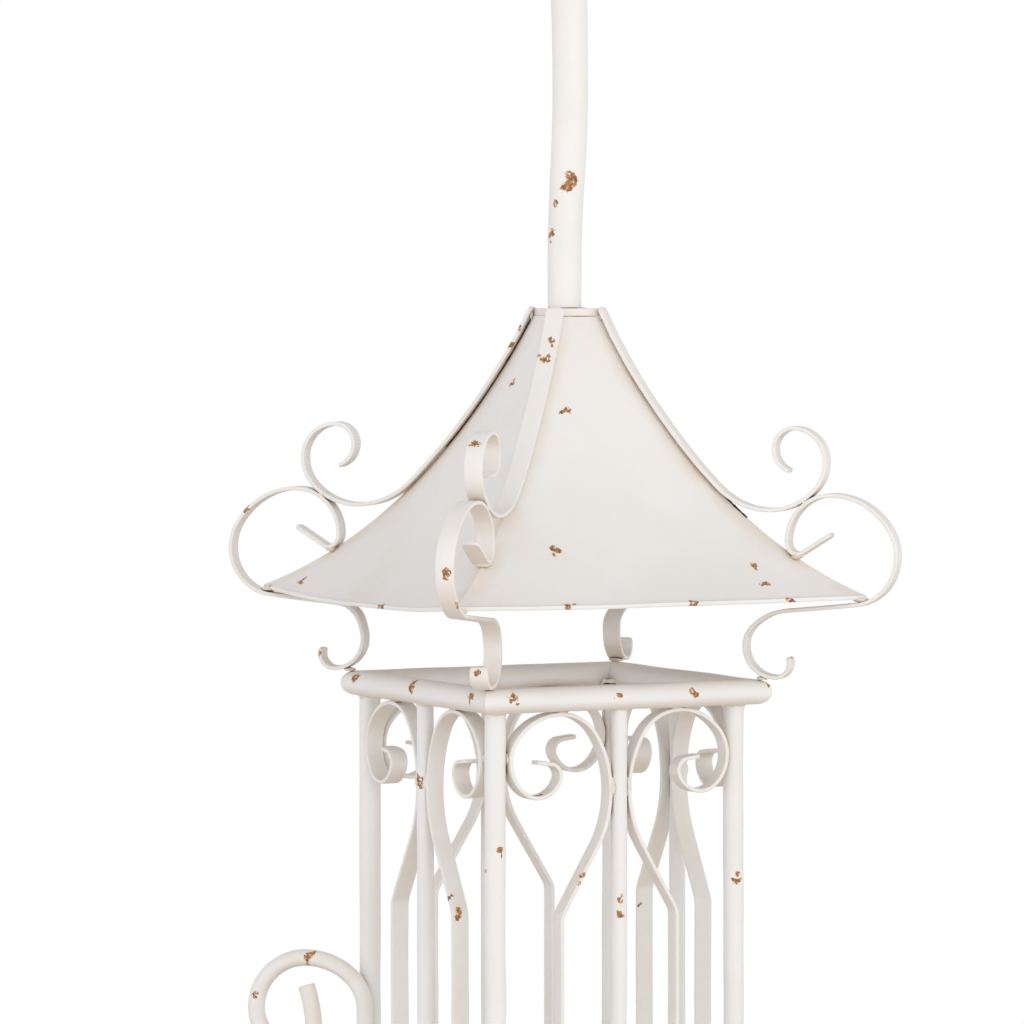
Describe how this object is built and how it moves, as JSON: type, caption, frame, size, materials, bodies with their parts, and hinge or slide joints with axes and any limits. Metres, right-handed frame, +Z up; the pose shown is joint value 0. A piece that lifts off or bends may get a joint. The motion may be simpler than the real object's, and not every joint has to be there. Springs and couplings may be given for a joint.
{
  "type": "bird feeder on pole",
  "caption": "Free-standing wrought-iron bird feeder: scrolled cage with a lift-out seed tray, swept pagoda roof with corner scrolls, and a crook pole on top.",
  "frame": {"origin": "centre of the cage's plan at ground level, midway between the four feet", "axes": "+Z up; the cage's faces are square to X and Y, with its front facing -Y; the crook leans towards -X"},
  "size_m": [0.3924, 0.3924, 1.7401],
  "materials": {
    "antique_white_iron": "distressed antique-white paint, chipped to rust",
    "tray_white_iron": "antique-white painted sheet"
  },
  "bodies": {
    "cage": {"top_rail_front": "antique_white_iron", "top_rail_right": "antique_white_iron", "top_rail_back": "antique_white_iron", "top_rail_left": "antique_white_iron", "lower_rail_front": "antique_white_iron", "lower_rail_right": "antique_white_iron", "lower_rail_back": "antique_white_iron", "lower_rail_left": "antique_white_iron", "corner_post_front_left": "antique_white_iron", "leg_front_left": "antique_white_iron", "foot_front_left": "antique_white_iron", "corner_scroll_front_left": "antique_white_iron", "ridge_strip_front_left": "antique_white_iron", "corner_post_front_right": "antique_white_iron", "leg_front_right": "antique_white_iron", "foot_front_right": "antique_white_iron", "corner_scroll_front_right": "antique_white_iron", "ridge_strip_front_right": "antique_white_iron", "corner_post_back_right": "antique_white_iron", "leg_back_right": "antique_white_iron", "foot_back_right": "antique_white_iron", "corner_scroll_back_right": "antique_white_iron", "ridge_strip_back_right": "antique_white_iron", "corner_post_back_left": "antique_white_iron", "leg_back_left": "antique_white_iron", "foot_back_left": "antique_white_iron", "corner_scroll_back_left": "antique_white_iron", "ridge_strip_back_left": "antique_white_iron", "mid_post_front": "antique_white_iron", "infill_scroll_front_a": "antique_white_iron", "infill_scroll_front_b": "antique_white_iron", "roof_panel_front": "antique_white_iron", "mid_post_right": "antique_white_iron", "infill_scroll_right_a": "antique_white_iron", "infill_scroll_right_b": "antique_white_iron", "roof_panel_right": "antique_white_iron", "mid_post_back": "antique_white_iron", "infill_scroll_back_a": "antique_white_iron", "infill_scroll_back_b": "antique_white_iron", "roof_panel_back": "antique_white_iron", "mid_post_left": "antique_white_iron", "infill_scroll_left_a": "antique_white_iron", "infill_scroll_left_b": "antique_white_iron", "roof_panel_left": "antique_white_iron", "roof_cap_plate": "antique_white_iron", "pole_spigot": "antique_white_iron", "side_scroll": "antique_white_iron", "tray_bearer_left": "antique_white_iron", "tray_bearer_right": "antique_white_iron"},
    "pole": {"pole": "antique_white_iron", "crook_tip": "antique_white_iron"},
    "tray": {"seed_tray": "tray_white_iron"}
  },
  "joints": [
    {"name": "pole_swivel", "type": "hinge", "parent": "cage", "child": "pole", "pos_m": [0, 0, 0.8976], "axis": [0, 0, 1], "continuous": true},
    {"name": "seed_tray_lift", "type": "slide", "parent": "cage", "child": "tray", "axis": [0, 0, 1], "range_m": [0, 0.505]}
  ]
}
